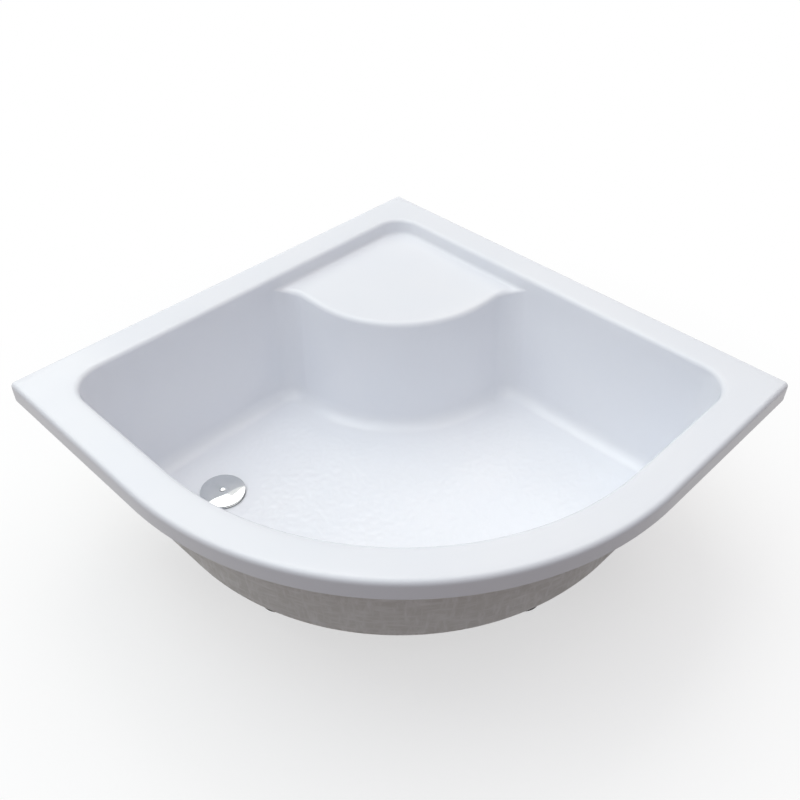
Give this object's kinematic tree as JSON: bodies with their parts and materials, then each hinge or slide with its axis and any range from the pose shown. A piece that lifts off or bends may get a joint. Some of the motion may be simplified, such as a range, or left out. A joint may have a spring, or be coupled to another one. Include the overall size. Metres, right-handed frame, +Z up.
{
  "type": "deep shower tray",
  "caption": "Quadrant shower tray with a deep drafted basin, a moulded corner seat, a lift-out waste with a domed cover, and rails on adjustable screw feet.",
  "frame": {"origin": "on the ground, below the middle of the square that the two wall sides span", "axes": "+Z up; the wall sides face -X and +Y; the curved front faces +X and -Y"},
  "size_m": [0.9, 0.9, 0.37],
  "materials": {
    "acrylic": "high gloss white, very slightly cool",
    "board": "pressed chipboard under resin",
    "galvanised_steel": "galvanised, dull with spangle",
    "zinc_fasteners": "bright zinc plate",
    "black_plastic": "moulded matt black",
    "white_plastic": "moulded satin white",
    "rubber_seal": "soft matt black",
    "chrome_plate": "polished chrome plate"
  },
  "bodies": {
    "tray": {"tray_shell": "acrylic", "floor_board": "board", "seat_board": "board", "rear_rail": "galvanised_steel", "front_rail": "galvanised_steel", "rail_end_caps": "black_plastic", "rail_screws": "zinc_fasteners", "rail_nuts": "zinc_fasteners", "lock_nuts": "zinc_fasteners", "seat_post": "galvanised_steel", "seat_post_plate": "galvanised_steel", "seat_post_plug": "black_plastic", "plate_screws": "zinc_fasteners", "waste_flange": "chrome_plate", "flange_seal": "rubber_seal", "body_seal": "rubber_seal", "trap_body": "white_plastic", "outlet_seal": "rubber_seal", "outlet_nut": "white_plastic"},
    "trap_insert": {"trap_insert": "white_plastic", "insert_ring": "rubber_seal"},
    "waste_cover": {"waste_cover": "chrome_plate", "cover_knob": "chrome_plate"},
    "foot_rear_left": {"foot_pad_rear_left": "black_plastic"},
    "stud_rear_left": {"foot_stud_rear_left": "zinc_fasteners"},
    "foot_rear_right": {"foot_pad_rear_right": "black_plastic"},
    "stud_rear_right": {"foot_stud_rear_right": "zinc_fasteners"},
    "foot_front_left": {"foot_pad_front_left": "black_plastic"},
    "stud_front_left": {"foot_stud_front_left": "zinc_fasteners"},
    "foot_front_right": {"foot_pad_front_right": "black_plastic"},
    "stud_front_right": {"foot_stud_front_right": "zinc_fasteners"},
    "foot_seat": {"foot_pad_seat": "black_plastic"},
    "stud_seat": {"foot_stud_seat": "zinc_fasteners"}
  },
  "joints": [
    {"name": "insert_lift", "type": "slide", "parent": "tray", "child": "trap_insert", "axis": [0, 0, 1], "range_m": [0, 0.12]},
    {"name": "cover_lift", "type": "slide", "parent": "trap_insert", "child": "waste_cover", "axis": [0, 0, 1], "range_m": [0, 0.06]},
    {"name": "foot_rear_left_height", "type": "slide", "parent": "tray", "child": "foot_rear_left", "axis": [0, 0, 1], "range_m": [-0.02, 0.018]},
    {"name": "stud_rear_left_turn", "type": "hinge", "parent": "foot_rear_left", "child": "stud_rear_left", "pos_m": [-0.26489, -0.10933, 0.05], "axis": [0, 0, 1], "range_deg": [-4120, 3710]},
    {"name": "foot_rear_right_height", "type": "slide", "parent": "tray", "child": "foot_rear_right", "axis": [0, 0, 1], "range_m": [-0.02, 0.018]},
    {"name": "stud_rear_right_turn", "type": "hinge", "parent": "foot_rear_right", "child": "stud_rear_right", "pos_m": [0.10933, 0.26489, 0.05], "axis": [0, 0, 1], "range_deg": [-4120, 3710]},
    {"name": "foot_front_left_height", "type": "slide", "parent": "tray", "child": "foot_front_left", "axis": [0, 0, 1], "range_m": [-0.02, 0.018]},
    {"name": "stud_front_left_turn", "type": "hinge", "parent": "foot_front_left", "child": "stud_front_left", "pos_m": [-0.04569, -0.25782, 0.05], "axis": [0, 0, 1], "range_deg": [-4120, 3710]},
    {"name": "foot_front_right_height", "type": "slide", "parent": "tray", "child": "foot_front_right", "axis": [0, 0, 1], "range_m": [-0.02, 0.018]},
    {"name": "stud_front_right_turn", "type": "hinge", "parent": "foot_front_right", "child": "stud_front_right", "pos_m": [0.25782, 0.04569, 0.05], "axis": [0, 0, 1], "range_deg": [-4120, 3710]},
    {"name": "foot_seat_height", "type": "slide", "parent": "tray", "child": "foot_seat", "axis": [0, 0, 1], "range_m": [-0.02, 0.018]},
    {"name": "stud_seat_turn", "type": "hinge", "parent": "foot_seat", "child": "stud_seat", "pos_m": [-0.275, 0.275, 0.05], "axis": [0, 0, 1], "range_deg": [-4120, 3710]}
  ],
  "couplings": [
    {"joint": "stud_rear_left_turn", "follows": "foot_rear_left_height", "rad_per_m": 3590.4},
    {"joint": "stud_rear_right_turn", "follows": "foot_rear_right_height", "rad_per_m": 3590.4},
    {"joint": "stud_front_left_turn", "follows": "foot_front_left_height", "rad_per_m": 3590.4},
    {"joint": "stud_front_right_turn", "follows": "foot_front_right_height", "rad_per_m": 3590.4},
    {"joint": "stud_seat_turn", "follows": "foot_seat_height", "rad_per_m": 3590.4}
  ]
}
